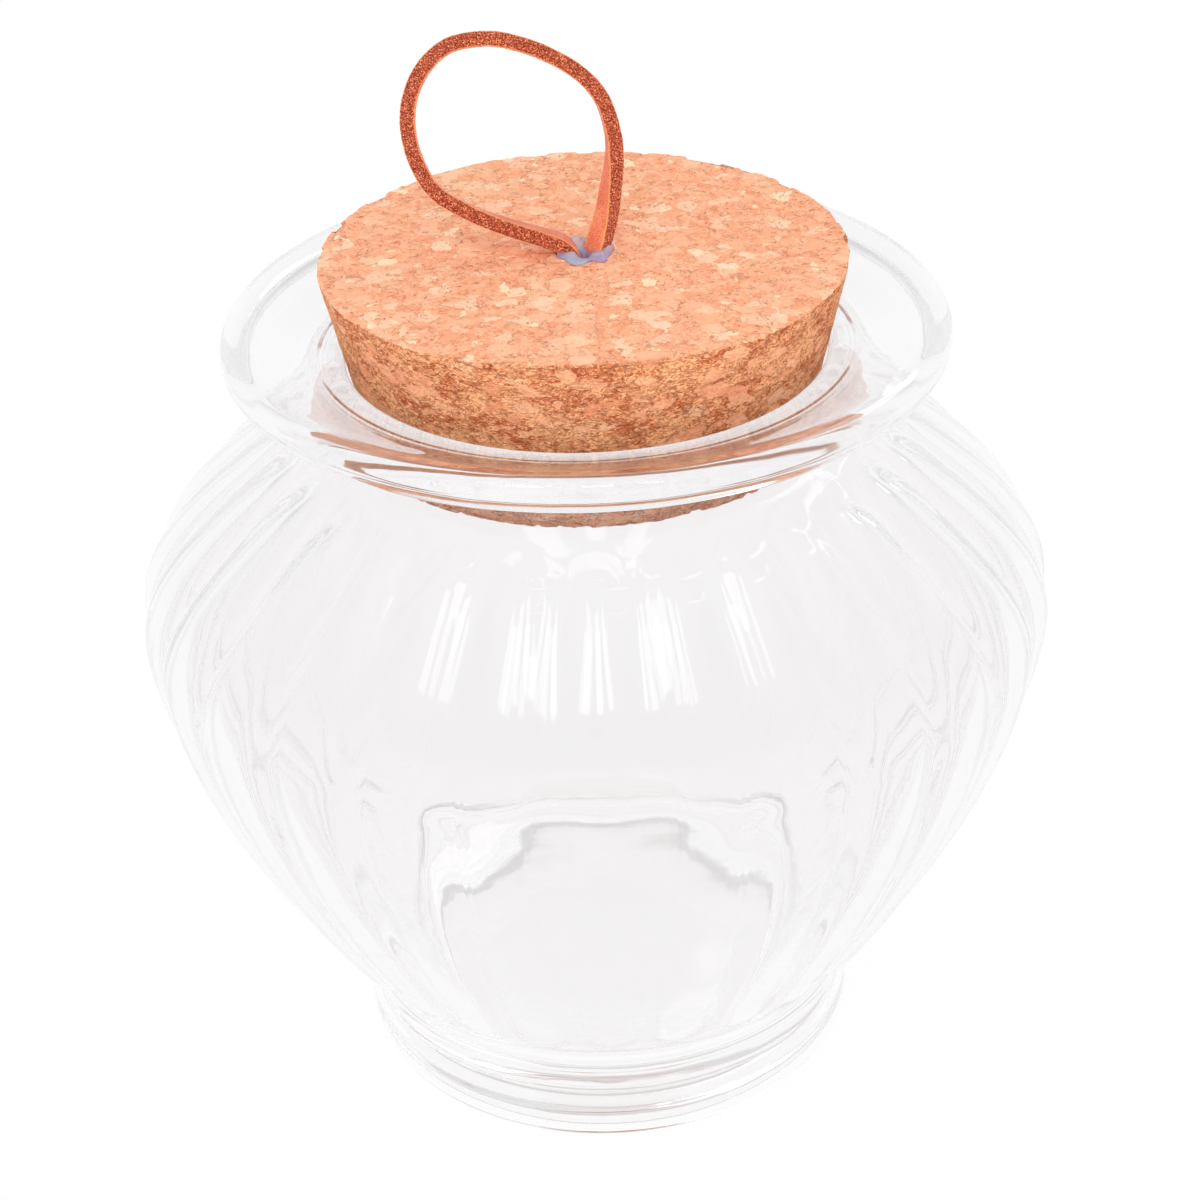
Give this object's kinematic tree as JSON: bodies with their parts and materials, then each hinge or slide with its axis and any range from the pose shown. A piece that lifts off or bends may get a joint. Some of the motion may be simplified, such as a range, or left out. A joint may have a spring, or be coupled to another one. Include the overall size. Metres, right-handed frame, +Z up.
{
  "type": "storage jar",
  "caption": "Lobed glass jar with a wide dished rim, closed by a tapered cork stopper with a leather pull loop glued into its top.",
  "frame": {"origin": "centre of the foot, on the surface that the jar stands on", "axes": "+Z up along the jar's axis, -Y towards the viewer of the picture, +X to the viewer's right"},
  "size_m": [0.12, 0.12, 0.1422],
  "materials": {
    "clear_glass": "clear, smooth, fire-polished",
    "cork": "pressed cork granules, sanded, matt",
    "suede": "suede lace, cut edges dark and fibrous, faces lighter",
    "glue": "milky translucent hot-melt glue, glossy"
  },
  "bodies": {
    "jar": {"glass_jar": "clear_glass"},
    "stopper": {"cork_stopper": "cork", "suede_loop": "suede", "glue_plug": "glue"}
  },
  "joints": [
    {"name": "stopper_lift", "type": "slide", "parent": "jar", "child": "stopper", "axis": [0, 0, 1], "range_m": [0, 0.04]}
  ]
}
